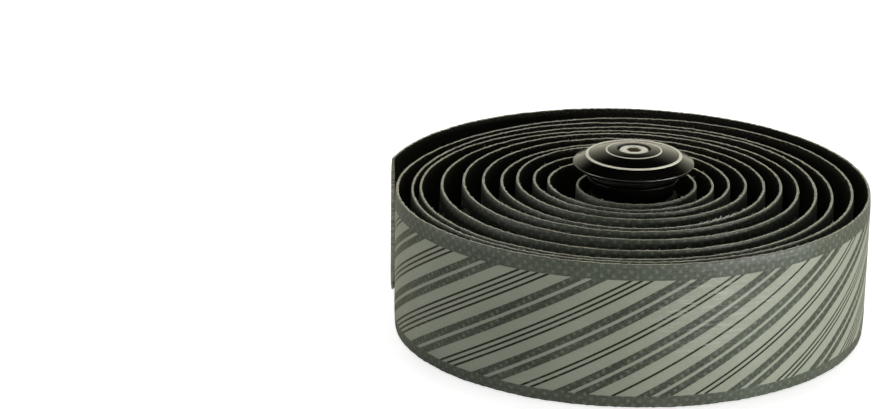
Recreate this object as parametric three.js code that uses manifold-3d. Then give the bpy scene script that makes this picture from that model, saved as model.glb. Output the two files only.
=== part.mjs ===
// Handlebar tape, wound flat, with the bar-end plug that stands in its core.
// Millimetres, +Z up, origin under the middle of the part, on the surface that it rests on.
import * as THREE from 'three';
import { mergeVertices } from 'three/addons/utils/BufferGeometryUtils.js';
import Module from 'manifold-3d';

const wasm = await Module();
wasm.setup();

// Clearance between pieces that seat on each other
const fitGap = 0.3;

// Tape: a strip whose inner face is skived thin along both edges
const tapeWidth = 32;
const tapeThickness = 1;
const tapeEdgeThickness = 0.7;
const skiveWidth = 4;

// Winding, counted in turns from the strip's inner end
const wholeTurns = 11;
const lastPartTurn = 0.18;
const innerEndAzimuth = 100.8;
const turnSlack = 3.05;
const stationsPerTurn = 48;

// The core sits off the middle of the roll, round the plug, and the turns even that out
const plugX = 1.4;
const plugY = -2.9;
const coreFadeTurns = 4;

// The later turns lean forward, and are looser behind, by this share of the slack
const leanX = -0.5;
const leanY = -1.75;
const leanTurnsFromEnd = 2.92;
const leanSpreadTurns = 1.5;

// The last turn springs out to a true circle
const springTurnsFromEnd = 1.04;
const springOverTurns = 0.3;
const roundTurnsFromEnd = 0.61;

// Plug: wedge nut at the foot, expander sleeve on it, cap above, one screw through all
const screwRadius = 2;
const screwHeadRadius = 3.35;
const screwHeadHeight = 4;
const screwHeadEdge = 0.3;
const screwTipRecess = 1;
const socketAcrossFlats = 3;
const socketDepth = 2.2;
const nutFootRadius = 8.7;
const nutFootHeight = 8;
const nutShoulder = 0.7;
const nutTaperHeight = 12;
const nutTopRadius = 5.2;
const footChamfer = 0.6;
const sleeveRadius = 10.1;
const sleeveStandoff = 1.5;
const sleeveLength = 24.5;
const ribCount = 7;
const ribHeight = 1.8;
const ribDepth = 1.1;
const ribTaper = 0.2;
const spigotRadius = 6;
const spigotLength = 5;
const neckRadius = 8.9;
const neckHeight = 1.85;
const capRadius = 13.4;
const lipHeight = 1;
const bevelRise = 1.35;
const ringRadius = 10.75;
const ringWidth = 0.55;
const ringRise = 0.2;
const domeRise = 1.5;
const counterboreRadius = 3.7;
const headRecess = 0.25;

const capSegments = 52;
const curveSegments = 5;
const roundSegments = 32;

const tapePitch = tapeThickness + turnSlack;
const totalTurns = wholeTurns + lastPartTurn;
const coreRadius = sleeveRadius + fitGap + tapeThickness;
const outerRadius = coreRadius + tapePitch * (totalTurns - roundTurnsFromEnd);

// Where the winding is slack or pinched: turn, outward shift as a share of the slack, spread in turns
const slackSpots = [
  { turn: 0.45, shift: 0.4, spread: 0.2 },
  { turn: 1.12, shift: 0.9, spread: 0.21 },
  { turn: 1.5, shift: 0.35, spread: 0.2 },
  { turn: 2.11, shift: 0.72, spread: 0.14 },
  { turn: 3.02, shift: 0.95, spread: 0.17 },
  { turn: 4.47, shift: 0.66, spread: 0.14 },
  { turn: totalTurns - 3.31, shift: 0.87, spread: 0.12 },
  { turn: totalTurns - 2.04, shift: -0.92, spread: 0.13 },
  { turn: totalTurns - 1.1, shift: -1.84, spread: 0.17 },
];

const bell = (x) => Math.exp(-x * x);

// Line of the tape's outer face. Its steps are even in angle, not in length,
// so that the facets of neighbouring turns lie side by side.
class Winding extends THREE.Curve {
  getPoint(t, target = new THREE.Vector3()) {
    const turn = t * totalTurns;
    const angle = THREE.MathUtils.degToRad(innerEndAzimuth) + 2 * Math.PI * turn;
    let radius = coreRadius + tapePitch * turn;
    for (const spot of slackSpots) {
      radius += spot.shift * turnSlack * bell((turn - spot.turn) / spot.spread);
    }
    const core = Math.exp(-turn / coreFadeTurns);
    const lean = turnSlack * bell((turn - totalTurns + leanTurnsFromEnd) / leanSpreadTurns);
    const x = plugX * core + leanX * lean + radius * Math.cos(angle);
    const y = plugY * core + leanY * lean + radius * Math.sin(angle);
    const springStart = totalTurns - springTurnsFromEnd;
    const sprung = THREE.MathUtils.smoothstep(turn, springStart, springStart + springOverTurns);
    return target.set(
      THREE.MathUtils.lerp(x, outerRadius * Math.cos(angle), sprung),
      THREE.MathUtils.lerp(y, outerRadius * Math.sin(angle), sprung),
      0,
    );
  }

  getUtoTmapping(u) {
    return u;
  }
}

// Along the winding, the section's x runs down, so that the strip stands on the curve,
// and its y runs in towards the core
function tapeSection() {
  const section = new THREE.Shape();
  section.moveTo(0, 0);
  section.lineTo(-tapeWidth, 0);
  section.lineTo(-tapeWidth, tapeEdgeThickness);
  section.lineTo(skiveWidth - tapeWidth, tapeThickness);
  section.lineTo(-skiveWidth, tapeThickness);
  section.lineTo(0, tapeEdgeThickness);
  section.closePath();
  return section;
}

function makeTape() {
  return new THREE.ExtrudeGeometry(tapeSection(), {
    steps: Math.round(totalTurns * stationsPerTurn),
    extrudePath: new Winding(),
  });
}

// Turns a closed profile of radius and height about the plug's axis
function revolve(profile, segments) {
  const points = profile.getPoints(curveSegments);
  if (!points[0].equals(points[points.length - 1])) {
    points.push(points[0].clone());
  }
  return new THREE.LatheGeometry(points, segments).rotateX(Math.PI / 2);
}

// Heights up the plug, from the surface that its foot stands on
const sleeveBottom = nutFootHeight + sleeveStandoff;
const sleeveTop = sleeveBottom + sleeveLength;
const neckBottom = sleeveTop + fitGap;
const flangeBottom = neckBottom + neckHeight;
const rimHeight = flangeBottom + lipHeight;
const ringBottom = rimHeight + bevelRise;
const ringTop = ringBottom + ringRise;
const capTop = ringTop + domeRise;
const headTop = capTop - headRecess;
const headBottom = headTop - screwHeadHeight;
const spigotBottom = neckBottom - spigotLength;
const nutTop = nutFootHeight + nutTaperHeight;
const clearHoleRadius = screwRadius + fitGap;

function makeNut() {
  const profile = new THREE.Shape();
  profile.moveTo(clearHoleRadius, 0);
  profile.lineTo(nutFootRadius - footChamfer, 0);
  profile.lineTo(nutFootRadius, footChamfer);
  profile.lineTo(nutFootRadius, nutFootHeight);
  profile.lineTo(nutFootRadius - nutShoulder, nutFootHeight);
  profile.lineTo(nutTopRadius, nutTop);
  profile.lineTo(clearHoleRadius, nutTop);
  profile.closePath();
  return revolve(profile, roundSegments);
}

// Radius of the nut's taper at a height, which the sleeve's mouth follows at the fit gap
function taperRadius(height) {
  const bottom = nutFootRadius - nutShoulder;
  const share = (height - nutFootHeight) / nutTaperHeight;
  return THREE.MathUtils.lerp(bottom, nutTopRadius, share);
}

function makeSleeve() {
  const mouthTop = nutTop + fitGap;
  const spigotSocket = spigotBottom - fitGap;
  const ribPitch = (sleeveLength - ribHeight) / (ribCount - 1);
  const grooveRadius = sleeveRadius - ribDepth;
  const profile = new THREE.Shape();
  profile.moveTo(taperRadius(sleeveBottom) + fitGap, sleeveBottom);
  for (let rib = 0; rib < ribCount; rib += 1) {
    const bottom = sleeveBottom + rib * ribPitch;
    profile.lineTo(sleeveRadius - ribTaper, bottom);
    profile.lineTo(sleeveRadius, bottom + ribHeight);
    if (rib < ribCount - 1) {
      profile.lineTo(grooveRadius, bottom + ribHeight);
      profile.lineTo(grooveRadius, bottom + ribPitch);
    }
  }
  profile.lineTo(spigotRadius + fitGap, sleeveTop);
  profile.lineTo(spigotRadius + fitGap, spigotSocket);
  profile.lineTo(clearHoleRadius, spigotSocket);
  profile.lineTo(clearHoleRadius, mouthTop);
  profile.lineTo(taperRadius(mouthTop) + fitGap, mouthTop);
  profile.closePath();
  return revolve(profile, roundSegments);
}

function makeCap() {
  const ringOuter = ringRadius + ringWidth / 2;
  const ringInner = ringRadius - ringWidth / 2;
  const profile = new THREE.Shape();
  profile.moveTo(clearHoleRadius, spigotBottom);
  profile.lineTo(spigotRadius, spigotBottom);
  profile.lineTo(spigotRadius, neckBottom);
  profile.lineTo(neckRadius, neckBottom);
  profile.lineTo(neckRadius, flangeBottom);
  profile.lineTo(capRadius - lipHeight, flangeBottom);
  profile.quadraticCurveTo(capRadius, flangeBottom, capRadius, rimHeight);
  profile.lineTo(ringOuter, ringBottom);
  profile.lineTo(ringInner, ringTop);
  profile.quadraticCurveTo(
    (ringInner + counterboreRadius) / 2, capTop,
    counterboreRadius, capTop,
  );
  profile.lineTo(counterboreRadius, headBottom - fitGap);
  profile.lineTo(clearHoleRadius, headBottom - fitGap);
  profile.closePath();
  return revolve(profile, capSegments);
}

function toSolid(geometry) {
  const bare = geometry.clone().deleteAttribute('normal').deleteAttribute('uv');
  const merged = mergeVertices(bare);
  return new wasm.Manifold(new wasm.Mesh({
    numProp: 3,
    vertProperties: new Float32Array(merged.attributes.position.array),
    triVerts: new Uint32Array(merged.index.array),
  }));
}

function toGeometry(solid) {
  const mesh = solid.getMesh();
  const geometry = new THREE.BufferGeometry();
  geometry.setAttribute('position', new THREE.BufferAttribute(mesh.vertProperties, mesh.numProp));
  geometry.setIndex(new THREE.BufferAttribute(mesh.triVerts, 1));
  geometry.computeVertexNormals();
  return geometry;
}

function makeScrew() {
  const profile = new THREE.Shape();
  profile.moveTo(0, screwTipRecess);
  profile.lineTo(screwRadius, screwTipRecess);
  profile.lineTo(screwRadius, headBottom);
  profile.lineTo(screwHeadRadius, headBottom);
  profile.lineTo(screwHeadRadius, headTop - screwHeadEdge);
  profile.lineTo(screwHeadRadius - screwHeadEdge, headTop);
  profile.lineTo(0, headTop);
  const blank = new THREE.LatheGeometry(profile.getPoints(), roundSegments).rotateX(Math.PI / 2);
  const socketRadius = socketAcrossFlats / 2 / Math.cos(Math.PI / 6);
  const socket = new THREE.CylinderGeometry(socketRadius, socketRadius, 2 * socketDepth, 6)
    .rotateX(Math.PI / 2)
    .translate(0, 0, headTop);
  return toGeometry(toSolid(blank).subtract(toSolid(socket)));
}

function makePart(name, geometry, color, roughness, metalness) {
  const mesh = new THREE.Mesh(
    geometry,
    new THREE.MeshStandardMaterial({ color, roughness, metalness }),
  );
  mesh.name = name;
  return mesh;
}

const plug = new THREE.Group();
plug.add(
  makePart('wedge_nut', makeNut(), 0x8d8f92, 0.4, 1),
  makePart('expander_sleeve', makeSleeve(), 0x121212, 0.6, 0),
  makePart('plug_cap', makeCap(), 0x0c0c0d, 0.2, 1),
  makePart('plug_screw', makeScrew(), 0xb9b8b2, 0.3, 1),
);
plug.position.set(plugX, plugY, 0);

// The strip stands on its curve, and the plug on its foot beside it
const roll = new THREE.Group();
roll.add(makePart('tape_roll', makeTape(), 0x4b504f, 0.6, 0), plug);

const bounds = new THREE.Box3().setFromObject(roll, true);
const middle = bounds.getCenter(new THREE.Vector3());
roll.position.set(-middle.x, -middle.y, -bounds.min.z);

const group = new THREE.Group();
group.add(roll);

export default group;
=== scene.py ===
# %% [markdown]
# # A roll of handlebar tape, with its bar-end plug
#
# The tape is one long strip of thin foam with a printed skin. It is wound flat, and a
# plug for the end of the bar stands in its core. The solids that carry the part are
# loaded first. They give every size and place used below, in metres.

import math

import bpy
import numpy as np
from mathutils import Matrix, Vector


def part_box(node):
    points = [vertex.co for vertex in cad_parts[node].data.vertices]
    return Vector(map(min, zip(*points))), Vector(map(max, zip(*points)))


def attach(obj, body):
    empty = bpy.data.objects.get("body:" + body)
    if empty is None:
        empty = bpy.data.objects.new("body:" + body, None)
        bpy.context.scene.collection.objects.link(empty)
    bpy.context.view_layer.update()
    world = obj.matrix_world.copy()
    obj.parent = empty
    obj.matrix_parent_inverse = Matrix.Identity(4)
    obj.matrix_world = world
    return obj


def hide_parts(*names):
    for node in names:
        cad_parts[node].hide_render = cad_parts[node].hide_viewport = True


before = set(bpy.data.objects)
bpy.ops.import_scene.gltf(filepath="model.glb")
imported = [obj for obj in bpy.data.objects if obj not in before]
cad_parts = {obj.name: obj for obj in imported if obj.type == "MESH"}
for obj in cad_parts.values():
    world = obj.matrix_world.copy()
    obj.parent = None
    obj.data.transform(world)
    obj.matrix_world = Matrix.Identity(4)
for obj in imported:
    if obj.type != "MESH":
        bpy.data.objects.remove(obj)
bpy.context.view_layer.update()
print("nodes", sorted(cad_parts))

# %% [markdown]
# ## The camera
#
# The camera stands where the photographer stood, so that a render can be laid over the
# photograph. It looks down at the roll by about nineteen degrees from over half a
# metre away, through a long lens. It is placed from the middle of the roll's outer
# circle, and the tape's right-hand extreme and outer radius say where that middle is.

# %% Place the camera
MM = 0.001
OUTER_RADIUS = 54.2085 * MM
EYE = Vector((-42.04, -583.63, 229.07)) * MM
LOOKS_DOWN = math.radians(19.224)
LEANS = math.radians(0.646)
FOCAL_PIXELS = 2766.35
PICTURE_WIDTH = 873

tape_low, tape_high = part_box("tape_roll")
TAPE_WIDTH = tape_high.z - tape_low.z
roll_middle = Vector((tape_high.x - OUTER_RADIUS, (tape_low.y + tape_high.y) / 2, 0))

lens = bpy.data.cameras.new("camera")
lens.sensor_fit = "HORIZONTAL"
lens.sensor_width = 36
lens.lens = FOCAL_PIXELS * lens.sensor_width / PICTURE_WIDTH
lens.clip_start = 0.01
lens.clip_end = 20
camera = bpy.data.objects.new("camera", lens)
camera.location = roll_middle + EYE
camera.rotation_mode = "XYZ"
camera.rotation_euler = (math.pi / 2 - LOOKS_DOWN, 0, 0)
camera.rotation_euler.rotate_axis("Z", LEANS)
bpy.context.scene.collection.objects.link(camera)
bpy.context.scene.camera = camera
print("lens", round(lens.lens, 2), "roll middle", [round(v, 5) for v in roll_middle])

# %% [markdown]
# ## Small helpers
#
# An operator acts on whatever is selected, so each piece starts by clearing the
# selection. A finished piece keeps its place in its mesh, with its object at the
# origin, so that patterns on object coordinates stay put.

# %% Selection and finishing helpers
def only(piece):
    """Selects this piece alone and makes it active."""
    if bpy.context.object and bpy.context.object.mode != "OBJECT":
        bpy.ops.object.mode_set(mode="OBJECT")
    bpy.ops.object.select_all(action="DESELECT")
    piece.select_set(True)
    bpy.context.view_layer.objects.active = piece


def name_new(name):
    """Names the object that an operator has just added, and its mesh."""
    piece = bpy.context.object
    piece.name = name
    piece.data.name = name
    return piece


def apply_modifiers(piece):
    only(piece)
    for modifier in list(piece.modifiers):
        bpy.ops.object.modifier_apply(modifier=modifier.name)


def triangles(piece):
    return sum(len(face.vertices) - 2 for face in piece.data.polygons)


def settle(piece, slot, *nodes):
    """Fixes the piece's place in its mesh and hangs it on the part."""
    only(piece)
    bpy.ops.object.transform_apply(location=True, rotation=True, scale=True)
    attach(piece, "root")
    if nodes:
        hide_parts(*nodes)
    print(piece.name, triangles(piece), "triangles")
    return piece


# %% [markdown]
# ## Shader arithmetic
#
# A material is a graph of nodes. Writing it as arithmetic is shorter and easier to
# read, so a wire stands for one socket, and adding or multiplying wires adds the Math
# nodes. Every other node comes from `add`, which takes its settings first and then
# what its sockets hold. What changes over a surface is a wire. What is the same all over
# is set on the shader's own socket, where an exported model keeps it.

# %% A wire between nodes
class Wire:
    def __init__(self, tree, socket=None):
        self.tree = tree
        self.socket = socket

    def add(self, kind, settings, inputs, output=0):
        node = self.tree.nodes.new(kind)
        for name, value in settings.items():
            setattr(node, name, value)
        for name, value in inputs.items():
            if isinstance(value, Wire):
                self.tree.links.new(value.socket, node.inputs[name])
            else:
                node.inputs[name].default_value = value
        return Wire(self.tree, node.outputs[output])

    def math(self, operation, *others, clamp=False):
        settings = {"operation": operation, "use_clamp": clamp}
        return self.add("ShaderNodeMath", settings, dict(enumerate((self, *others))))

    def __add__(self, other):
        return self.math("ADD", other)

    def __sub__(self, other):
        return self.math("SUBTRACT", other)

    def __rsub__(self, other):
        return self * -1 + other

    def __mul__(self, other):
        return self.math("MULTIPLY", other)

    def __truediv__(self, other):
        return self.math("DIVIDE", other)

    __radd__ = __add__
    __rmul__ = __mul__

    def ramp(self, low, high):
        """0 below low and 1 above high, or the other way round where low is the larger."""
        return (self - low).math("MULTIPLY", 1 / (high - low), clamp=True)

    def within(self, bands):
        """1 inside any of these bands and 0 between them."""
        return sum(self.math("GREATER_THAN", low) * self.math("LESS_THAN", high) for low, high in bands)

    def mix(self, first, second):
        """The first colour where this wire is 0 and the second where it is 1."""
        settings = {"data_type": "RGBA"}
        return self.add("ShaderNodeMix", settings, {0: self, 6: first, 7: second}, 2)

    def noise(self, scale, detail=3, roughness=0.5):
        """Noise over this wire's coordinates, from 0 to 1."""
        inputs = {"Vector": self, "Scale": scale, "Detail": detail, "Roughness": roughness}
        return self.add("ShaderNodeTexNoise", {}, inputs)

    def vector(self, operation, other, output=0):
        return self.add("ShaderNodeVectorMath", {"operation": operation}, {0: self, 1: other}, output)

    def stretch(self, x, y, z):
        return self.vector("MULTIPLY", (x, y, z))

    def axis(self, index):
        return self.add("ShaderNodeSeparateXYZ", {}, {0: self}, index)

    def object_millimetres(self):
        """The place on the part, in millimetres."""
        return self.add("ShaderNodeTexCoord", {}, {}, "Object").stretch(1 / MM, 1 / MM, 1 / MM)

    def bump(self, distance):
        """The normal of a surface that this height raises, 1 being raised by the distance."""
        return self.add("ShaderNodeBump", {}, {"Height": self, "Strength": 1, "Distance": distance})


def new_material(name, **fixed):
    """A material whose shader has the fixed values on its own sockets, and a wire to start from."""
    material = bpy.data.materials.new(name)
    material.use_nodes = True
    tree = material.node_tree
    shader = tree.nodes["Principled BSDF"]
    for socket, value in fixed.items():
        shader.inputs[socket.replace("_", " ")].default_value = value
    return material, Wire(tree)


def feed(material, **wires):
    """Links each wire to the socket of the material's shader that has its name."""
    shader = material.node_tree.nodes["Principled BSDF"]
    for socket, wire in wires.items():
        material.node_tree.links.new(wire.socket, shader.inputs[socket.replace("_", " ")])


def rgb(red, green, blue):
    """A colour as a picture shows it, from 0 to 255, made linear for the shader."""
    return (*(((v / 255 + 0.055) / 1.055) ** 2.4 for v in (red, green, blue)), 1)


# %% [markdown]
# ## The winding
#
# The strip's outer face follows a spiral. It starts against the plug's sleeve and gains
# one pitch a turn, but nobody winds a roll that evenly: the core is off centre, the
# later turns lean towards the front, a few spots stand slack, and the last turn springs
# out to a true circle. The same rule shapes the solid, so the two lie together. Each
# slack spot says at which turn it lies, how far it moves the tape as a share of the
# slack in one turn, and over how many turns it fades.

# %% The line of the tape's outer face
FIT_GAP = 0.3 * MM
TAPE_THICKNESS = 1 * MM
TAPE_EDGE_THICKNESS = 0.7 * MM
SKIVE_WIDTH = 4 * MM
TURN_SLACK = 3.05 * MM
TURNS = 11.18
INNER_END_AZIMUTH = 100.8
CORE_FADE_TURNS = 4
LEAN = np.array([-0.5, -1.75])
LEAN_TURN = TURNS - 2.92
LEAN_SPREAD = 1.5
SPRING_START = TURNS - 1.04
SPRING_OVER = 0.3
SLACK_SPOTS = (
    (0.45, 0.4, 0.2),
    (1.12, 0.9, 0.21),
    (1.5, 0.35, 0.2),
    (2.11, 0.72, 0.14),
    (3.02, 0.95, 0.17),
    (4.47, 0.66, 0.14),
    (TURNS - 3.31, 0.87, 0.12),
    (TURNS - 2.04, -0.92, 0.13),
    (TURNS - 1.1, -1.84, 0.17),
)

cap_low, cap_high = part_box("plug_cap")
sleeve_low, sleeve_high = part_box("expander_sleeve")
plug_axis = Vector(((cap_low.x + cap_high.x) / 2, (cap_low.y + cap_high.y) / 2, 0))
SLEEVE_RADIUS = (sleeve_high.x - sleeve_low.x) / 2
CORE_RADIUS = SLEEVE_RADIUS + FIT_GAP + TAPE_THICKNESS
TAPE_PITCH = TAPE_THICKNESS + TURN_SLACK
plug_offset = np.array(plug_axis - roll_middle)[:2]


def bell(x):
    return np.exp(-x * x)


def winding(turn):
    """Points of the strip's outer face at these turns, as an array of x and y."""
    angle = math.radians(INNER_END_AZIMUTH) + 2 * math.pi * turn
    out = np.stack([np.cos(angle), np.sin(angle)], axis=1)
    radius = CORE_RADIUS + TAPE_PITCH * turn
    for spot, shift, spread in SLACK_SPOTS:
        radius = radius + shift * TURN_SLACK * bell((turn - spot) / spread)
    core = np.exp(-turn / CORE_FADE_TURNS)[:, None]
    lean = TURN_SLACK * bell((turn - LEAN_TURN) / LEAN_SPREAD)[:, None]
    loose = plug_offset * core + LEAN * lean + out * radius[:, None]
    share = np.clip((turn - SPRING_START) / SPRING_OVER, 0, 1)
    sprung = (share * share * (3 - 2 * share))[:, None]
    return np.array(roll_middle)[:2] + loose * (1 - sprung) + out * OUTER_RADIUS * sprung


# %% Places along the strip, in even steps of its length
STEP = 0.66 * MM
FINE_POINTS = 20001
fine_turns = np.linspace(0, TURNS, FINE_POINTS)
fine_steps = np.linalg.norm(np.diff(winding(fine_turns), axis=0), axis=1)
fine_lengths = np.concatenate([[0], np.cumsum(fine_steps)])
strip_length = float(fine_lengths[-1])
stations = round(strip_length / STEP)
lengths = np.linspace(0, strip_length, stations + 1)
line = winding(np.interp(lengths, fine_lengths, fine_turns))
print("strip length", round(strip_length, 3), "m in", stations, "steps")

# %% [markdown]
# ## The tape's three surfaces
#
# The outer face of such a tape is a thin printed skin. The ink makes diagonal stripes
# that stop short of both edges, so that the plain margins lap under the next turn on a
# bar. The print could be a picture, but stripes are only numbers: the place along the
# strip, slid sideways by the height up it, is the same all along one slanting stripe.
# A colour ramp could say which widths are inked, but it is read in 256 steps, too
# coarse for pinstripes, so each band of ink is a pair of comparisons. Small raised dots
# are embossed through skin and ink in staggered rows, for grip.

# %% Stripe widths, in millimetres across one repeat of the print
SLANT = 1.732
BROAD = 4.5
PINSTRIPE = 0.9
SLIVER = 1.25
GROUND = 3.1
THIN = 1.35
GROUPS = (1, 2, 3, 4, 3, 2)
FRONT_TURN = 10.47
FIRST_GROUP = 13

pale_bands = []
pinstripe_bands = []
reach = 0
for pinstripes in GROUPS:
    group_start = reach
    reach += BROAD
    for stripe in range(pinstripes):
        if stripe:
            reach += SLIVER
        pinstripe_bands.append((reach, reach + PINSTRIPE))
        reach += PINSTRIPE
    reach += BROAD
    pale_bands.append((group_start, reach))
    pale_bands.append((reach + GROUND, reach + GROUND + THIN))
    reach += 2 * GROUND + THIN
REPEAT = reach
print("one repeat of the print", round(REPEAT, 2), "mm, with", len(pinstripe_bands), "pinstripes")

# %% Where the ink lies
MARGIN_LOW = 2.7
MARGIN_HIGH = 28.4
INK_BLEED = 0.05

skin_material, strip_nodes = new_material("tape_skin", Specular_IOR_Level=0.36)


def strip_place(nodes):
    """Millimetres along and up the flat strip, from the attribute that the tape carries."""
    stored = nodes.add("ShaderNodeAttribute", {"attribute_name": "strip_place"}, {}, 1)
    return stored.stretch(1 / MM, 1 / MM, 1 / MM)


place = strip_place(strip_nodes)
along = place.axis(0)
up = place.axis(1)
front = float(np.interp(FRONT_TURN, fine_turns, fine_lengths)) / MM
slid = along - SLANT * (up - TAPE_WIDTH / MM / 2) - (front + FIRST_GROUP) % REPEAT
across_print = (slid / REPEAT).math("FRACT") * REPEAT
between_margins = up.ramp(MARGIN_LOW - INK_BLEED, MARGIN_LOW + INK_BLEED)
between_margins = between_margins * up.ramp(MARGIN_HIGH + INK_BLEED, MARGIN_HIGH - INK_BLEED)
inked = across_print.within(pale_bands) * between_margins
lined = across_print.within(pinstripe_bands) * between_margins
print("the front of the roll is", round(front), "mm along the strip")

# %% [markdown]
# The dots are a grid with every second row moved on by half a step. A slow noise pushes
# the rows about a little, and another makes some dots fainter, as they are where an
# embossing roller is worn.

# %% The embossed dots
DOT_PITCH = 2.5
DOT_ROW = 1.1
DOT_RADIUS = 0.3
DOT_DRIFT_ALONG = 1.1
DOT_DRIFT_UP = 0.5
FAINTEST_DOT = 0.25

dots_along = along + (place.noise(0.22, 2) - 0.5) * DOT_DRIFT_ALONG
dots_up = up + (place.noise(0.35, 2) - 0.5) * DOT_DRIFT_UP
row = (dots_up / DOT_ROW).math("FLOOR")
dot_x = (dots_along / DOT_PITCH + row * 0.5).math("FRACT") - 0.5
dot_y = (dots_up / DOT_ROW).math("FRACT") - 0.5
dot_reach = ((dot_x * DOT_PITCH).math("POWER", 2) + (dot_y * DOT_ROW).math("POWER", 2)).math("SQRT")
dot_strength = place.stretch(0.3, 0.6, 1).noise(1, 3, 0.7).ramp(0.3, 0.7)
dot_strength = dot_strength * (1 - FAINTEST_DOT) + FAINTEST_DOT
dot = dot_reach.ramp(DOT_RADIUS * 2, DOT_RADIUS * 0.3) * dot_strength
print("rows of dots up the tape:", round(TAPE_WIDTH / MM / DOT_ROW))

# %% [markdown]
# The skin has fine ripples along it where the roll was squeezed, most of all in one patch
# on the front. A painted pale sheen lies on their crests, more on the ink than beside it.

# %% The ripples and the painted sheen on their crests
WRINKLED_ALONG = 13
WRINKLED_UP = 21
WRINKLED_LENGTH = 13
WRINKLED_HEIGHT = 12
WRINKLED_ELSEWHERE = 0.6
# how strong the painted sheen is on the bare skin and on the ink
PAINTED_SHEEN_ON_GROUND = 0.1
PAINTED_SHEEN_ON_INK = 0.24

from_patch_along = (along - front - WRINKLED_ALONG) / WRINKLED_LENGTH
from_patch_up = (up - WRINKLED_UP) / WRINKLED_HEIGHT
from_patch = from_patch_along.math("POWER", 2) + from_patch_up.math("POWER", 2)
elsewhere = place.stretch(0.05, 0.08, 1).noise(1, 2).ramp(0.5, 0.75) * WRINKLED_ELSEWHERE
wrinkled = from_patch.ramp(1, 0.2).math("MAXIMUM", elsewhere)
ripple = place.stretch(0.2, 1.7, 1).noise(1, 3, 0.6)
# painted sheen: a pale highlight on the ripples' crests, more on the ink than on the ground
painted_sheen_on = ripple.ramp(0.5, 0.62) * wrinkled * (inked * PAINTED_SHEEN_ON_INK + PAINTED_SHEEN_ON_GROUND)
print("most rippled", WRINKLED_ALONG, "mm past the front,", WRINKLED_UP, "mm up")

# %% [markdown]
# The colours go on in the order of the real tape: the grey skin, then the pale ink, the dark
# lines in it and the paler dots. Painted bounce light makes the plain margins paler, most
# of all the low one, and a painted pale sheen goes last on the ripples' crests.
# Each is one mix, with a mask from above deciding where. Fibre noise breaks up the thin
# lines, because they print thinly over the skin's grain. The same masks then raise the
# dots and the ripples, and ink fills the grain, so that it lies smoother under the ink.

# %% The skin's colours
GROUND_DARK = rgb(52, 57, 47)
GROUND_LIGHT = rgb(99, 107, 93)
GRAIN_SHARE = 0.65
# painted bounce light: how much paler the plain margins are painted, more near the low edge
MARGIN_BOUNCE_TINT = rgb(132, 139, 124)
MARGIN_BOUNCE_LIFT = 0.12
LOW_MARGIN_BOUNCE_FADE = (5, 1)
INK_DULL = rgb(164, 170, 152)
INK_PALE = rgb(171, 177, 159)
PINSTRIPE_DARK = rgb(33, 34, 24)
DOT_TINT = rgb(178, 182, 168)
DOT_LIFT = 0.38
DOT_LIFT_ON_LINES = 0.04
PAINTED_SHEEN_TINT = rgb(214, 218, 210)

fibre = place.noise(2.2, 4, 0.65)
grain = place.noise(1.9, 3, 0.75)
blotch = place.stretch(0.05, 0.12, 1).noise(1, 3)
speckle = blotch * (1 - GRAIN_SHARE) + grain * GRAIN_SHARE
ground = speckle.ramp(0.36, 0.62).mix(GROUND_DARK, GROUND_LIGHT)
# painted bounce light: the plain margins are painted paler, the low one most
painted_bounce = (1 - between_margins) * (up.ramp(*LOW_MARGIN_BOUNCE_FADE) * MARGIN_BOUNCE_LIFT + MARGIN_BOUNCE_LIFT)
ground = painted_bounce.mix(ground, MARGIN_BOUNCE_TINT)
colour = inked.mix(ground, blotch.ramp(0.35, 0.65).mix(INK_DULL, INK_PALE))
colour = (lined * fibre.ramp(0.14, 0.28)).mix(colour, PINSTRIPE_DARK)
colour = (dot * (DOT_LIFT - lined * (DOT_LIFT - DOT_LIFT_ON_LINES))).mix(colour, DOT_TINT)
# painted sheen on the ripples' crests, mixed in last
colour = painted_sheen_on.mix(colour, PAINTED_SHEEN_TINT)
print("mixed from ground, ink, lines, dots and rubbed crests")

# %% The skin's relief and gloss
RELIEF_DEPTH = 0.05 * MM
DOT_RELIEF = 0.8
RIPPLE_RELIEF = 0.8
WRINKLE_RELIEF = 4
GRAIN_RELIEF = 1.6
GRAIN_UNDER_INK = 0.4
SKIN_ROUGHNESS = 0.3
FIBRE_ROUGHNESS = 0.12
RUBBED_SMOOTH = 0.05

relief = dot * DOT_RELIEF + ripple * (RIPPLE_RELIEF + wrinkled * WRINKLE_RELIEF)
relief = relief + grain * (GRAIN_RELIEF - inked * (GRAIN_RELIEF - GRAIN_UNDER_INK))
roughness = SKIN_ROUGHNESS + fibre * FIBRE_ROUGHNESS - wrinkled * RUBBED_SMOOTH
feed(skin_material, Base_Color=colour, Roughness=roughness, Normal=relief.bump(RELIEF_DEPTH))
print("the skin takes", len(skin_material.node_tree.nodes), "nodes")

# %% [markdown]
# The back of the tape is bare foam, black and quite matt, with tiny cells, and a little
# pale fuzz clings to it beside the upper edge. Where the strip was slit to width, the
# blade left the foam's pale core open. It is rough, lighter where the cells tore and
# darker between.

# %% The foam back
FOAM_DARK = rgb(10, 10, 7)
FOAM_LIGHT = rgb(42, 41, 34)
FUZZ_TINT = rgb(158, 156, 136)
FUZZ_REACH = 1.2
CELL_DEPTH = 0.12 * MM

back_material, nodes = new_material("tape_back", Roughness=0.92, IOR=1.3)
place = strip_place(nodes)
cells = place.noise(2.4, 4, 0.75)
foam_black = cells.ramp(0.35, 0.7).mix(FOAM_DARK, FOAM_LIGHT)
near_edge = place.axis(1).ramp(TAPE_WIDTH / MM - FUZZ_REACH, TAPE_WIDTH / MM)
fuzz = place.noise(2.8, 3, 0.7).ramp(0.56, 0.68) * near_edge
feed(back_material, Base_Color=fuzz.mix(foam_black, FUZZ_TINT), Normal=cells.bump(CELL_DEPTH))
print("the back takes", len(back_material.node_tree.nodes), "nodes")

# %% The cut edge
CUT_DARK = rgb(96, 95, 79)
CUT_LIGHT = rgb(214, 212, 190)
CUT_CLUMPED = rgb(193, 191, 170)
TORN_DEPTH = 0.3 * MM

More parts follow.
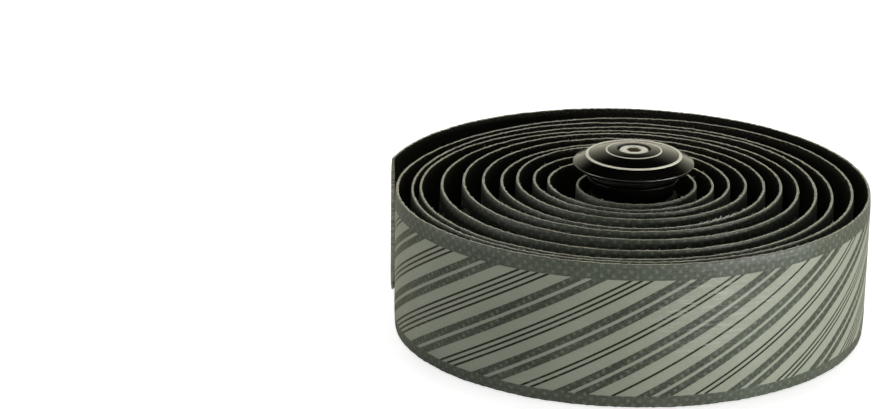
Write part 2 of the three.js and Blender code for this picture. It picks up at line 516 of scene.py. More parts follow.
cut_material, nodes = new_material("tape_cut", Roughness=0.95, IOR=1.3)
place = strip_place(nodes)
torn = place.noise(1.7, 5, 0.75)
clumps = place.stretch(0.5, 1, 1).noise(1, 2)
torn_colour = torn.ramp(0.36, 0.6).mix(CUT_DARK, CUT_LIGHT)
cut_colour = clumps.ramp(0.35, 0.75).mix(torn_colour, CUT_CLUMPED)
feed(cut_material, Base_Color=cut_colour, Normal=torn.bump(TORN_DEPTH))
print("the cut edge takes", len(cut_material.node_tree.nodes), "nodes")

# %% [markdown]
# ## The strip, cut flat and then wound
#
# A real strip is printed flat and then rolled, and the same order works here. A flat
# grid is the printed skin. Each of its points keeps its place on the flat strip in an
# attribute, so the print follows the tape round every turn. Then the grid is wound
# along the spiral, and a Solidify modifier gives it the foam's thickness, less along
# the two edges, where the tape is thinned so that it laps neatly on a bar. A hair of
# unevenness along both cut edges keeps them from looking ruled.

# %% Cut the flat strip
ROW_HEIGHTS = np.array([0, 2, 4, 28, 30, 32]) / 32 * TAPE_WIDTH
rows = len(ROW_HEIGHTS) - 1
bpy.ops.object.select_all(action="DESELECT")
bpy.ops.mesh.primitive_grid_add(x_subdivisions=stations, y_subdivisions=rows, size=1)
tape = name_new("tape")
grid = np.empty(len(tape.data.vertices) * 3)
tape.data.vertices.foreach_get("co", grid)
grid = grid.reshape(-1, 3)
station_of = np.rint((grid[:, 0] + 0.5) * stations).astype(int)
row_of = np.rint((grid[:, 1] + 0.5) * rows).astype(int)
print("grid points", len(grid), "stations", station_of.max() + 1, "rows", row_of.max() + 1)

# %% Where each point lies on the flat strip
EDGE_WAVE = 0.22 * MM
SLOW_WAVE_STEPS = 6
SLOW_WAVE_SHARE = 0.4
rough = np.random.default_rng(11)


def uneven():
    """Seeded roughness from 0 to 1 at each station: a slow wave with a finer one on it."""
    every = np.arange(stations + 1)
    knots = np.arange(0, len(every) + SLOW_WAVE_STEPS, SLOW_WAVE_STEPS)
    slow = np.interp(every, knots, rough.random(len(knots)))
    return SLOW_WAVE_SHARE * slow + (1 - SLOW_WAVE_SHARE) * rough.random(len(every))


across = ROW_HEIGHTS[row_of]
across = across + np.where(row_of == 0, EDGE_WAVE * uneven()[station_of], 0)
across = across - np.where(row_of == rows, EDGE_WAVE * uneven()[station_of], 0)
strip = np.stack([lengths[station_of], across, np.zeros(len(grid))], axis=1)
stored = tape.data.attributes.new("strip_place", "FLOAT_VECTOR", "POINT")
stored.data.foreach_set("vector", strip.astype(np.float32).ravel())
print("flat strip", round(strip[:, 0].max(), 3), "m long,", round(strip[:, 1].max(), 4), "m wide")

# %% Wind the strip, with both margins rolled in a little
ROLLED_IN = np.array([0.2, 0.06, 0, 0, 0.06, 0.2]) * MM
inwards = line - np.array(roll_middle)[:2]
inwards = -inwards / np.linalg.norm(inwards, axis=1)[:, None]
wound = line[station_of] + inwards[station_of] * ROLLED_IN[row_of][:, None]
wound = np.column_stack([wound, across])
tape.data.vertices.foreach_set("co", wound.astype(np.float32).ravel())
tape.data.update()
print("wound box", wound.min(axis=0).round(4), wound.max(axis=0).round(4))
only(tape)
outermost = max(tape.data.polygons, key=lambda face: face.center.x)
if outermost.normal.x < 0:
    bpy.ops.object.mode_set(mode="EDIT")
    bpy.ops.mesh.select_all(action="SELECT")
    bpy.ops.mesh.flip_normals()
    bpy.ops.object.mode_set(mode="OBJECT")
    print("skin turned to face outwards")

# %% Give it its thickness, thinned along both edges
EDGE_THINNING = 0.24
WEIGHT_STEPS = 100
CORNER_ROUND = 0.14 * MM
CORNER_ANGLE = 60
TAPE_SMOOTH_ANGLE = 50
from_edge = np.minimum(ROW_HEIGHTS, TAPE_WIDTH - ROW_HEIGHTS)
thinnest = TAPE_EDGE_THICKNESS / TAPE_THICKNESS
body = thinnest + (1 - thinnest) * np.clip(from_edge / SKIVE_WIDTH, 0, 1)
foam = tape.vertex_groups.new(name="foam")
for edge_row in range(rows + 1):
    at_edge = edge_row in (0, rows)
    thinner = EDGE_THINNING * uneven()[station_of] if at_edge else np.zeros(len(grid))
    level = np.rint((body[edge_row] - thinner) * WEIGHT_STEPS).astype(int)
    for value in np.unique(level[row_of == edge_row]):
        members = np.nonzero((row_of == edge_row) & (level == value))[0]
        foam.add(members.tolist(), float(value) / WEIGHT_STEPS, "REPLACE")
thick = tape.modifiers.new("thickness", "SOLIDIFY")
thick.thickness = TAPE_THICKNESS
thick.offset = -1
thick.use_even_offset = False
thick.vertex_group = foam.name
thick.material_offset = 1
thick.material_offset_rim = 2
for material in (skin_material, back_material, cut_material):
    tape.data.materials.append(material)
round_off = tape.modifiers.new("soft corners", "BEVEL")
round_off.width = CORNER_ROUND
round_off.segments = 2
round_off.limit_method = "ANGLE"
round_off.angle_limit = math.radians(CORNER_ANGLE)
apply_modifiers(tape)
bpy.ops.object.shade_smooth_by_angle(angle=math.radians(TAPE_SMOOTH_ANGLE))
settle(tape, "tape", "tape_roll")
print("faces by material", np.bincount([p.material_index for p in tape.data.polygons]))

# %% [markdown]
# ## Lint and torn fibres
#
# Where the blade went through, the foam's cut edge sheds. Short fibres stand up from the
# edge here and there, and on one stretch at the front a row of torn bits hangs on. Much
# smaller crumbs cling all along the edge's inner corner and make it look furry. They are
# real geometry, because bumps in a material would leave the edge's outline smooth. One
# fibre is modelled once, as a thin cone bent over, and copied. The copies are scattered
# with a fixed seed, so that they fall in the same places each time.

# %% One fibre
FIBRE_LENGTH = 1 * MM
FIBRE_THICKNESS = 0.07 * MM
FIBRE_CURL = 45
bpy.ops.object.select_all(action="DESELECT")
bpy.ops.mesh.primitive_cone_add(
    vertices=4, radius1=FIBRE_THICKNESS / 2, radius2=FIBRE_THICKNESS / 5, depth=FIBRE_LENGTH,
    location=(0, 0, FIBRE_LENGTH / 2),
)
fibre_model = name_new("fibre_model")
bpy.ops.object.transform_apply(location=True, rotation=True, scale=True)
bpy.ops.object.mode_set(mode="EDIT")
for height in (0.25, 0.5, 0.75):
    bpy.ops.mesh.select_all(action="SELECT")
    bpy.ops.mesh.bisect(plane_co=(0, 0, height * FIBRE_LENGTH), plane_no=(0, 0, 1))
bpy.ops.object.mode_set(mode="OBJECT")
curl = fibre_model.modifiers.new("curl", "SIMPLE_DEFORM")
curl.deform_method = "BEND"
curl.deform_axis = "X"
curl.angle = math.radians(FIBRE_CURL)
apply_modifiers(fibre_model)
print("one fibre has", triangles(fibre_model), "triangles")

# %% Scatter fibres along the upper cut edge
LOOSE_FIBRES = 260
LOOSE_LEAN = (25, 75)
LOOSE_GIRTH = (0.9, 1.8)
LOOSE_SHORTEST = 0.2
LOOSE_LONGER = 0.5
TORN_BITS = 26
TORN_STRETCH = (4.535, 4.62)
TORN_LEAN = (72, 92)
TORN_GIRTH = (4, 8)
TORN_LENGTH = (0.5, 1.3)
TORN_SWING = 0.5
FIBRE_INSET = (0.1 * MM, 0.6 * MM)
FIBRE_DROP = 0.12 * MM
SHEDDING_TURNS = (0.1, TURNS - 0.05)
scatter = np.random.default_rng(5)
bits = []


def scattered(name, turn, inset, drop):
    """A copy of the fibre on the upper cut edge, this far in from the tape's outer face."""
    copy = bpy.data.objects.new(name, fibre_model.data.copy())
    bpy.context.scene.collection.objects.link(copy)
    x, y = winding(np.array([turn]))[0]
    out = Vector((x, y, 0)) - roll_middle
    copy.location = Vector((x, y, TAPE_WIDTH - drop)) - out.normalized() * inset
    bits.append(copy)
    return copy


loose = scatter.uniform(*SHEDDING_TURNS, LOOSE_FIBRES)
torn_places = scatter.uniform(*TORN_STRETCH, TORN_BITS)
for number, turn in enumerate([*loose, *torn_places]):
    is_torn = number >= LOOSE_FIBRES
    fibre_copy = scattered(f"fibre_{number}", turn, scatter.uniform(*FIBRE_INSET), FIBRE_DROP)
    lean = scatter.uniform(*(TORN_LEAN if is_torn else LOOSE_LEAN))
    about = scatter.uniform(0, 2 * math.pi)
    if is_torn:
        outwards = fibre_copy.location - roll_middle
        sideways = math.atan2(outwards.y, outwards.x) + scatter.choice([0, math.pi])
        about = sideways + scatter.uniform(-TORN_SWING, TORN_SWING)
        length = scatter.uniform(*TORN_LENGTH)
    else:
        length = LOOSE_SHORTEST + LOOSE_LONGER * scatter.random() ** 3
    fibre_copy.rotation_euler = (math.radians(lean), 0, about)
    fibre_copy.scale = (scatter.uniform(*(TORN_GIRTH if is_torn else LOOSE_GIRTH)), length, length)
print(len(bits), "fibres")

# %% Crumbs in the edge's inner corner
CRUMBS = 1100
CRUMB_INSET = (0.6 * MM, 0.76 * MM)
CRUMB_DROP = (0.02 * MM, 0.14 * MM)
CRUMB_LEAN = (40, 100)
CRUMB_SIZE = (0.1, 0.26)
CRUMB_GIRTH = (1.5, 2.8)
for number, turn in enumerate(scatter.uniform(*SHEDDING_TURNS, CRUMBS)):
    inset = scatter.uniform(*CRUMB_INSET)
    crumb = scattered(f"crumb_{number}", turn, inset, scatter.uniform(*CRUMB_DROP))
    lean = scatter.uniform(*CRUMB_LEAN)
    crumb.rotation_euler = (math.radians(lean), 0, scatter.uniform(0, 2 * math.pi))
    size = scatter.uniform(*CRUMB_SIZE)
    crumb.scale = (scatter.uniform(*CRUMB_GIRTH), size, size)
print(len(bits), "fibres and crumbs")

# %% Join them into one piece of lint
LINT_SHADED = rgb(214, 214, 198)
LINT_PALE = rgb(248, 248, 236)
bpy.data.objects.remove(fibre_model)
bpy.ops.object.select_all(action="DESELECT")
for bit in bits:
    bit.select_set(True)
bpy.context.view_layer.objects.active = bits[0]
bpy.ops.object.join()
lint = name_new("lint")
lint_material, nodes = new_material("lint", Roughness=0.9)
spot = nodes.object_millimetres()
feed(lint_material, Base_Color=spot.noise(0.8).ramp(0.3, 0.7).mix(LINT_SHADED, LINT_PALE))
lint.data.materials.clear()
lint.data.materials.append(lint_material)
settle(lint, "tape")

# %% [markdown]
# ## The plug's pieces
#
# All four pieces of the plug came off a lathe or out of a round mould. So one helper
# works as a lathe does: it starts from a circle and draws each next circle out of the
# last one, up or in, until the profile closes on itself.

# %% A lathe
PLAIN_AROUND = 96
FINE_AROUND = 128
SAME_POINT = 0.001 * MM
TURNED_SMOOTH_ANGLE = 40


def turned(name, profile, around=PLAIN_AROUND):
    """A closed turned piece about the plug's axis, from radii and heights in metres."""
    bpy.ops.object.select_all(action="DESELECT")
    start_radius, start_height = profile[0]
    centre = (plug_axis.x, plug_axis.y, start_height)
    bpy.ops.mesh.primitive_circle_add(vertices=around, radius=start_radius, location=centre)
    piece = name_new(name)
    bpy.ops.object.transform_apply(location=True, rotation=True, scale=True)
    bpy.ops.object.mode_set(mode="EDIT")
    bpy.ops.mesh.select_all(action="SELECT")
    radius, height = profile[0]
    for next_radius, next_height in [*profile[1:], profile[0]]:
        lift = {"value": (0, 0, next_height - height)}
        bpy.ops.mesh.extrude_region_move(TRANSFORM_OT_translate=lift)
        share = next_radius / radius
        middle = (plug_axis.x, plug_axis.y, next_height)
        bpy.ops.transform.resize(value=(share, share, 1), center_override=middle)
        radius, height = next_radius, next_height
    bpy.ops.mesh.select_all(action="SELECT")
    bpy.ops.mesh.remove_doubles(threshold=SAME_POINT)
    bpy.ops.mesh.normals_make_consistent(inside=False)
    bpy.ops.object.mode_set(mode="OBJECT")
    return piece


def soften(piece, width, segments=3, angle=28):
    """Breaks the sharp edges, as a deburred or moulded piece has them."""
    bevel = piece.modifiers.new("broken edges", "BEVEL")
    bevel.width = width
    bevel.segments = segments
    bevel.limit_method = "ANGLE"
    bevel.angle_limit = math.radians(angle)
    apply_modifiers(piece)
    bpy.ops.object.shade_smooth_by_angle(angle=math.radians(TURNED_SMOOTH_ANGLE))


def from_axis(piece):
    """Each face's distance from the plug's axis, and its height."""
    centres = np.array([face.center[:] for face in piece.data.polygons])
    return np.hypot(centres[:, 0] - plug_axis.x, centres[:, 1] - plug_axis.y), centres[:, 2]


# %% [markdown]
# ### The cap
#
# The cap is turned from alloy bar and anodised black: a broad lip, a bevel up to a
# raised ring, a shallow dome, and a counterbore that the screw's head sits in. The ring
# was cut bright after the anodising, and a finer line runs round the dome inside it.
# Below, a short neck and a spigot go down into the sleeve. The edge between lip and
# bevel is rounded a little, because such a round catches a thin glint.

# %% The cap's sizes
CLEAR_HOLE = 2.3 * MM
SPIGOT_RADIUS = 6 * MM
NECK_RADIUS = 9.8 * MM
NECK_HEIGHT = 1.85 * MM
LIP_HEIGHT = 1 * MM
BEVEL_RISE = 1.5 * MM
RING_OUTER = 10.7 * MM
RING_INNER = 10 * MM
RING_RISE = 0.2 * MM
RING_SLOPE_OUTSIDE = 0.06 * MM
RING_SLOPE_INSIDE = 0.02 * MM
RING_STEP_INSIDE = 0.04 * MM
DOME_RISE = 1.35 * MM
RIM_ROUND = 0.3 * MM
COUNTERBORE = 3.7 * MM
LINE_OUTER = 6.25 * MM
LINE_INNER = 5.88 * MM
CAP_RADIUS = (cap_high.x - cap_low.x) / 2
screw_low, screw_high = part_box("plug_screw")
HEAD_HEIGHT = 4 * MM
CAP_TOP = cap_high.z
RING_TOP = CAP_TOP - DOME_RISE
RIM = RING_TOP - RING_RISE - BEVEL_RISE
FLANGE = RIM - LIP_HEIGHT
NECK_BOTTOM = FLANGE - NECK_HEIGHT
COUNTERBORE_FLOOR = screw_high.z - HEAD_HEIGHT - FIT_GAP
print("cap", round(2 * CAP_RADIUS / MM, 2), "mm across, its lip", round(FLANGE / MM, 2), "mm up")

# %% Turn the cap
LIP_STEPS = 6
RIM_STEPS = 6
DOME_STEPS_OUTSIDE = 9
DOME_STEPS_INSIDE = 6


def dome_height(radius):
    """The dome falls with the square of the radius, as a shallow ball does."""
    share = (radius**2 - COUNTERBORE**2) / (RING_INNER**2 - COUNTERBORE**2)
    return CAP_TOP - DOME_RISE * share


cap_profile = [
    (CLEAR_HOLE, cap_low.z),
    (SPIGOT_RADIUS, cap_low.z),
    (SPIGOT_RADIUS, NECK_BOTTOM),
    (NECK_RADIUS, NECK_BOTTOM),
    (NECK_RADIUS, FLANGE),
    (CAP_RADIUS - LIP_HEIGHT, FLANGE),
]
for step in range(1, LIP_STEPS):
    turn_up = step / LIP_STEPS * math.pi / 2
    cap_profile.append((
        CAP_RADIUS - LIP_HEIGHT * (1 - math.sin(turn_up)),
        RIM - LIP_HEIGHT * math.cos(turn_up),
    ))
bevel_faces = math.atan2(CAP_RADIUS - RING_OUTER, BEVEL_RISE)
rim_start = RIM - RIM_ROUND * math.tan(bevel_faces / 2)
for facing in np.linspace(0, bevel_faces, RIM_STEPS):
    cap_profile.append((
        CAP_RADIUS - RIM_ROUND * (1 - math.cos(facing)),
        rim_start + RIM_ROUND * math.sin(facing),
    ))
cap_profile += [
    (RING_OUTER, RING_TOP - RING_RISE),
    (RING_OUTER - RING_SLOPE_OUTSIDE, RING_TOP),
    (RING_INNER + RING_SLOPE_INSIDE, RING_TOP),
    (RING_INNER, dome_height(RING_INNER) - RING_STEP_INSIDE),
]
dome_radii = [
    *np.linspace(RING_INNER, LINE_OUTER, DOME_STEPS_OUTSIDE)[1:],
    *np.linspace(LINE_INNER, COUNTERBORE, DOME_STEPS_INSIDE),
]
cap_profile += [(radius, dome_height(radius)) for radius in dome_radii]
cap_profile += [(COUNTERBORE, COUNTERBORE_FLOOR), (CLEAR_HOLE, COUNTERBORE_FLOOR)]
cap = turned("plug_cap_turned", cap_profile, FINE_AROUND)

# %% [markdown]
# Anodising is a glassy, dyed layer on the metal. It could be a clear coat over dark
# metal, but a dark smooth surface with a high refractive index gives the same strong
# mirroring at a glancing angle with less to set. Faint rings from the lathe keep the
# mirroring from looking like plastic.

# %% Anodised black
ANODISED_DARK = rgb(6, 6, 5)
ANODISED_WORN = rgb(14, 13, 11)
TOOL_MARK_DEPTH = 0.0006 * MM
TOOL_MARKS = 14
RING_WANDER = 1.2
ANODISED_ROUGHNESS = 0.12
SMEAR_ROUGHNESS = 0.1
BORE_ROUGHNESS = 0.6
BORE_BLEND = 0.2

anodised, nodes = new_material("anodised_black", IOR=2)
spot = nodes.object_millimetres()
beside_axis = spot.vector("SUBTRACT", (plug_axis.x / MM, plug_axis.y / MM, 0)).stretch(1, 1, 0)
swirl = beside_axis.vector("LENGTH", (0, 0, 0), "Value")
tool_marks = (swirl * TOOL_MARKS + spot.noise(0.35, 2) * RING_WANDER).math("SINE")
smear = spot.noise(0.22, 3, 0.6)
bore = swirl.ramp(COUNTERBORE / MM + BORE_BLEND, COUNTERBORE / MM)
feed(
    anodised,
    Base_Color=smear.ramp(0.3, 0.7).mix(ANODISED_DARK, ANODISED_WORN),
    Roughness=ANODISED_ROUGHNESS + smear * SMEAR_ROUGHNESS + bore * BORE_ROUGHNESS,
    Normal=tool_marks.bump(TOOL_MARK_DEPTH),
)
cap.data.materials.append(anodised)
print("cap faces", len(cap.data.polygons))

# %% The ring and the line, machined bright
BRIGHT_DARK = rgb(240, 234, 212)
BRIGHT_LIGHT = rgb(251, 247, 228)
BRIGHT_ROUGHNESS = 0.38
BRIGHT_ROUGHER = 0.15
CAP_EDGE_BREAK = 0.07 * MM

bright, nodes = new_material("machined_bright", Metallic=0.1)
grain = nodes.object_millimetres().noise(2.5, 4, 0.7)
feed(
    bright,
    Base_Color=grain.ramp(0.3, 0.7).mix(BRIGHT_DARK, BRIGHT_LIGHT),
    Roughness=BRIGHT_ROUGHNESS + grain * BRIGHT_ROUGHER,
)
cap.data.materials.append(bright)
radii, heights = from_axis(cap)
on_top = heights > RIM
ring = on_top & (radii < RING_OUTER) & (radii > RING_INNER)
line_face = on_top & (radii < LINE_OUTER) & (radii > LINE_INNER)
cap.data.polygons.foreach_set("material_index", (ring | line_face).astype(np.int32))
soften(cap, CAP_EDGE_BREAK, 2, 40)
settle(cap, "anodised_cap", "plug_cap")

# %% [markdown]
# ### The screw
#
# A stainless socket screw draws the plug together. Its head lies in the cap's
# counterbore. The hexagon socket is made from the same circle as the rest: the points
# of one round of the profile are moved out or in until they lie on the hexagon's sides.

# %% Turn the screw, then press its hexagon
SCREW_RADIUS = 2 * MM
HEAD_RADIUS = (screw_high.x - screw_low.x) / 2
HEAD_EDGE = 0.3 * MM
TIP_CHAMFER = 0.3 * MM
SOCKET_FLATS = 3 * MM
SOCKET_DEPTH = 2.2 * MM
SOCKET_CONE = 0.5 * MM
SOCKET_LEAD_WIDTH = 0.25 * MM
SOCKET_LEAD_DEPTH = 0.12 * MM
HEAD_TOP = screw_high.z
HEAD_BOTTOM = HEAD_TOP - HEAD_HEIGHT
TINY = 0.02 * MM
screw = turned("plug_screw_turned", [
    (TINY, screw_low.z),
    (SCREW_RADIUS - TIP_CHAMFER, screw_low.z),
    (SCREW_RADIUS, screw_low.z + TIP_CHAMFER),
    (SCREW_RADIUS, HEAD_BOTTOM),
    (HEAD_RADIUS, HEAD_BOTTOM),
    (HEAD_RADIUS, HEAD_TOP - HEAD_EDGE),
    (HEAD_RADIUS - HEAD_EDGE, HEAD_TOP),
    (SOCKET_FLATS / 2 + SOCKET_LEAD_WIDTH, HEAD_TOP),
    (SOCKET_FLATS / 2, HEAD_TOP - SOCKET_LEAD_DEPTH),
    (SOCKET_FLATS / 2 - TINY, HEAD_TOP - SOCKET_DEPTH),
    (TINY, HEAD_TOP - SOCKET_DEPTH - SOCKET_CONE),
])
for point in screw.data.vertices:
    side = Vector((point.co.x - plug_axis.x, point.co.y - plug_axis.y))
    in_socket = SOCKET_FLATS / 2 - 2 * TINY < side.length < SOCKET_FLATS / 2 + TINY
    if in_socket and point.co.z > HEAD_TOP - SOCKET_DEPTH - TINY:
        bearing = math.atan2(side.y, side.x) % (math.pi / 3) - math.pi / 6
        side = side * (1 / math.cos(bearing))
        point.co.x = plug_axis.x + side.x
        point.co.y = plug_axis.y + side.y
print("hexagon", round(SOCKET_FLATS / MM, 2), "mm across its flats")

# %% [markdown]
# Fully metallic steel would mirror the dark above and turn black here. The real head
# looks pale and finely matt, so it is mostly a pale surface with a little metal in it.
# Down in the socket the colour turns dark and brownish with the depth, as painted shade.

# %% Bright stainless, with painted shade down in the socket
STAINLESS_DULL = rgb(249, 244, 226)
STAINLESS_BRIGHT = rgb(255, 252, 238)
SOCKET_SHADE = rgb(138, 124, 94)
SHADE_STARTS = 0.04
SHADE_FULL = 0.25
STEEL_ROUGHNESS = 0.26
STEEL_ROUGHER = 0.14
SCREW_EDGE_BREAK = 0.06 * MM

steel, nodes = new_material("stainless", Metallic=0.15)
spot = nodes.object_millimetres()
grain = spot.noise(1.8, 4, 0.6)
# painted shade: darker and browner the deeper into the hexagon socket
painted_socket_shade = spot.axis(2).ramp(HEAD_TOP / MM - SHADE_STARTS, HEAD_TOP / MM - SHADE_FULL)
head_colour = grain.ramp(0.3, 0.7).mix(STAINLESS_DULL, STAINLESS_BRIGHT)
roughness = STEEL_ROUGHNESS + grain * STEEL_ROUGHER
feed(steel, Base_Color=painted_socket_shade.mix(head_colour, SOCKET_SHADE), Roughness=roughness)
screw.data.materials.append(steel)
soften(screw, SCREW_EDGE_BREAK, 2)
settle(screw, "steel_screw", "plug_screw")

# %% [markdown]
# ### The expander sleeve and its wedge nut
#
# The sleeve is a moulded rubber tube with ribs that grip the inside of the bar. The
# screw pulls the tapered nut up into its foot, and that spreads it. The ribs are cut
# as a lathe would cut them, one groove after another. Below the top one their upper
# faces fall outwards a little, and the rubber there is scuffed and duller.

# %% The sleeve's and the nut's sizes
SLEEVE_TOP = sleeve_high.z
SLEEVE_LENGTH = sleeve_high.z - sleeve_low.z
RIB_COUNT = 7
RIB_HEIGHT = 1.8 * MM
RIB_DEPTH = 1.1 * MM
RIB_TAPER = 0.2 * MM
RIB_FALL = 0.5 * MM
nut_low, nut_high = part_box("wedge_nut")
NUT_RADIUS = (nut_high.x - nut_low.x) / 2
NUT_FOOT_HEIGHT = 8 * MM
NUT_SHOULDER = 0.7 * MM
NUT_TOP_RADIUS = 5.2 * MM
NUT_TOP = nut_high.z
print("sleeve", round(2 * SLEEVE_RADIUS / MM, 2), "mm across, nut", round(2 * NUT_RADIUS / MM, 2))


# %% Turn the sleeve
def taper_radius(height):
    """The nut's taper, which the sleeve's bore follows with the fit's gap."""
    share = (height - NUT_FOOT_HEIGHT) / (NUT_TOP - NUT_FOOT_HEIGHT)
    return NUT_RADIUS - NUT_SHOULDER + (NUT_TOP_RADIUS - NUT_RADIUS + NUT_SHOULDER) * share


rib_pitch = (SLEEVE_LENGTH - RIB_HEIGHT) / (RIB_COUNT - 1)
sleeve_profile = [(taper_radius(sleeve_low.z) + FIT_GAP, sleeve_low.z)]
for rib in range(RIB_COUNT):
    foot = sleeve_low.z + rib * rib_pitch
    fall = RIB_FALL if rib < RIB_COUNT - 1 else 0
    sleeve_profile += [(SLEEVE_RADIUS - RIB_TAPER, foot), (SLEEVE_RADIUS, foot + RIB_HEIGHT - fall)]
    if rib < RIB_COUNT - 1:
        groove = SLEEVE_RADIUS - RIB_DEPTH
        sleeve_profile += [(groove, foot + RIB_HEIGHT), (groove, foot + rib_pitch)]
sleeve_profile += [
    (SPIGOT_RADIUS + FIT_GAP, SLEEVE_TOP),
    (SPIGOT_RADIUS + FIT_GAP, cap_low.z - FIT_GAP),
    (CLEAR_HOLE, cap_low.z - FIT_GAP),
    (CLEAR_HOLE, NUT_TOP + FIT_GAP),
    (taper_radius(NUT_TOP + FIT_GAP) + FIT_GAP, NUT_TOP + FIT_GAP),
]
sleeve = turned("sleeve_moulded", sleeve_profile)

# %% Black rubber, scuffed lower down
RUBBER_DARK = rgb(3, 3, 2)
RUBBER_LIGHT = rgb(9, 9, 7)
RUBBER_GRAIN_DEPTH = 0.004 * MM
RUBBER_ROUGHNESS = 0.14
RUBBER_ROUGHER = 0.1
SCUFFS_START = 2
SCUFFS_FULL = 5
SCUFF_ROUGHNESS = 0.5
RIB_ROUND = 0.2 * MM

sleeve_rubber, nodes = new_material("sleeve_rubber", Specular_IOR_Level=0.14)
spot = nodes.object_millimetres()
grain = spot.noise(1.6, 4, 0.6)
scuffed = spot.axis(2).ramp(SLEEVE_TOP / MM - SCUFFS_START, SLEEVE_TOP / MM - SCUFFS_FULL)
feed(
    sleeve_rubber,
    Base_Color=grain.ramp(0.3, 0.7).mix(RUBBER_DARK, RUBBER_LIGHT),
    Roughness=RUBBER_ROUGHNESS + grain * RUBBER_ROUGHER + scuffed * SCUFF_ROUGHNESS,
    Normal=grain.bump(RUBBER_GRAIN_DEPTH),
)
sleeve.data.materials.append(sleeve_rubber)
soften(sleeve, RIB_ROUND, 3)
settle(sleeve, "sleeve_rubber", "expander_sleeve")

# %% [markdown]
# The nut is plain turned alloy, left bare because it is never seen in a bar. It is true
# metal, with fine rings from the lathe up its side.

# %% Turn the nut
FOOT_CHAMFER = 0.6 * MM
nut = turned("nut_turned", [
    (CLEAR_HOLE, 0),
    (NUT_RADIUS - FOOT_CHAMFER, 0),
    (NUT_RADIUS, FOOT_CHAMFER),
    (NUT_RADIUS, NUT_FOOT_HEIGHT),
    (NUT_RADIUS - NUT_SHOULDER, NUT_FOOT_HEIGHT),
    (NUT_TOP_RADIUS, NUT_TOP),
    (CLEAR_HOLE, NUT_TOP),
])

# %% Plain turned alloy
ALLOY_DARK = rgb(140, 142, 144)
ALLOY_LIGHT = rgb(172, 174, 175)
LATHE_MARKS = 9
LATHE_WANDER = 2
LATHE_MARK_DEPTH = 0.004 * MM
ALLOY_ROUGHNESS = 0.34
ALLOY_ROUGHER = 0.15
NUT_EDGE_BREAK = 0.1 * MM

nut_alloy, nodes = new_material("nut_alloy", Metallic=1.0)
spot = nodes.object_millimetres()
grain = spot.noise(1.2, 4, 0.6)
lathe_marks = (spot.axis(2) * LATHE_MARKS + grain * LATHE_WANDER).math("SINE")
feed(
    nut_alloy,
    Base_Color=grain.ramp(0.3, 0.7).mix(ALLOY_DARK, ALLOY_LIGHT),
    Roughness=ALLOY_ROUGHNESS + grain * ALLOY_ROUGHER,
    Normal=lathe_marks.bump(LATHE_MARK_DEPTH),
)
nut.data.materials.append(nut_alloy)
soften(nut, NUT_EDGE_BREAK, 2)
settle(nut, "nut_alloy", "wedge_nut")

# %% [markdown]
# ## The stage
#
# The floor is pale and glows a little for the camera alone, so that it looks white but
# still takes the roll's shadow. In a reflection it is dull and warm, as a studio's floor
# beyond the light is. Five soft lamps stand round the roll at a plain level.

# %% The floor
FLOOR_LIFT = 0.72
FLOOR_SIZE = 6
FLOOR_BELOW = 0.2 * MM
FLOOR_DARK = (0.8, 0.8, 0.8, 1)
FLOOR_LIGHT = (0.86, 0.86, 0.86, 1)
FLOOR_REFLECTED = (0.5, 0.48, 0.37, 1)
WHITE = (1, 1, 1, 1)
bpy.ops.object.select_all(action="DESELECT")
bpy.ops.mesh.primitive_plane_add(size=FLOOR_SIZE, location=(0, 0, -FLOOR_BELOW))
floor = name_new("floor")
floor_material, nodes = new_material("floor", Roughness=0.9, Emission_Color=WHITE)
floor.data.materials.append(floor_material)
tint = nodes.object_millimetres().noise(3 * MM).ramp(0.2, 0.8).mix(FLOOR_DARK, FLOOR_LIGHT)
seen = nodes.add("ShaderNodeLightPath", {}, {}, "Is Camera Ray")
mirrored = nodes.add("ShaderNodeLightPath", {}, {}, "Is Glossy Ray")
feed(floor_material, Base_Color=mirrored.mix(tint, FLOOR_REFLECTED), Emission_Strength=seen * FLOOR_LIFT)
print("floor", FLOOR_SIZE, "m wide")

# %% [markdown]
# Each lamp has its place in metres, its width and height, its power in watts, and whether
# a reflection shows it. The top and back ones light the turns' edges, but seen in the
# black cap they would be blank white bars, so reflections leave them out.

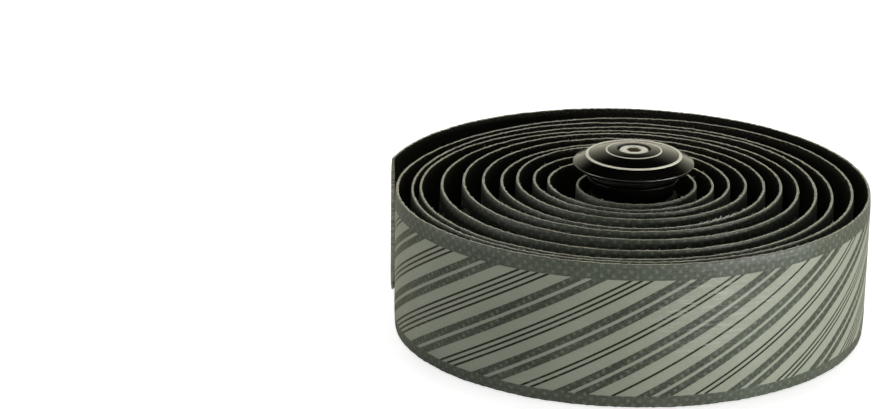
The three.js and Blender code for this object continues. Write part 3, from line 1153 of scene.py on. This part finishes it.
# %% Softboxes
AIM = Vector((0, 0, 0.02))
SOFTBOXES = {
    "right softbox": ((0.88, -0.5, 0.1), 0.7, 0.15, 6.2, True),
    "left softbox": ((-0.95, -0.15, 0.22), 0.6, 0.3, 1.9, True),
    "front softbox": ((0.6, -1.0, 0.03), 0.3, 0.08, 1.9, True),
    "top softbox": ((0, 0.1, 1.1), 0.8, 0.5, 3.2, False),
    "back softbox": ((0.1, 1.05, 0.42), 1.2, 0.35, 10, False),
}
for name, (stand, width, height, power, reflected) in SOFTBOXES.items():
    light = bpy.data.lights.new(name, "AREA")
    light.shape = "RECTANGLE"
    light.size = width
    light.size_y = height
    light.energy = power
    holder = bpy.data.objects.new(name, light)
    holder.location = stand
    holder.rotation_mode = "QUATERNION"
    holder.rotation_quaternion = (Vector(stand) - AIM).to_track_quat("Z", "Y")
    holder.visible_glossy = reflected
    bpy.context.scene.collection.objects.link(holder)
print(len(SOFTBOXES), "softboxes")

# %% [markdown]
# The surroundings are white to the camera and dim as a light. Gloss needs something to
# reflect, so to a mirrored ray they are bright and warm at the horizon and dark above.
# That darkness overhead is what keeps the cap black.

# %% The surroundings
HORIZON_ENDS = 0.58
HORIZON_FULL = 0.05
HORIZON_GLOW = 0.95
HORIZON_TINT = (1, 0.97, 0.75, 1)
FILL = 0.06
world = bpy.data.worlds.new("studio")
bpy.context.scene.world = world
world.use_nodes = True
nodes = Wire(world.node_tree)
seen = nodes.add("ShaderNodeLightPath", {}, {}, "Is Camera Ray")
mirrored = nodes.add("ShaderNodeLightPath", {}, {}, "Is Glossy Ray")
through = nodes.add("ShaderNodeLightPath", {}, {}, "Is Transmission Ray")
direction = nodes.add("ShaderNodeTexCoord", {}, {}, "Generated").axis(2)
horizon = direction.ramp(HORIZON_ENDS, HORIZON_FULL) * HORIZON_GLOW
strength = seen + through + mirrored * horizon + (1 - seen - through - mirrored) * FILL
back = world.node_tree.nodes["Background"]
world.node_tree.links.new(mirrored.mix(WHITE, HORIZON_TINT).socket, back.inputs["Color"])
world.node_tree.links.new(strength.socket, back.inputs["Strength"])
bpy.context.scene.view_settings.view_transform = "Standard"
print("surroundings ready,", len(world.node_tree.nodes), "nodes")
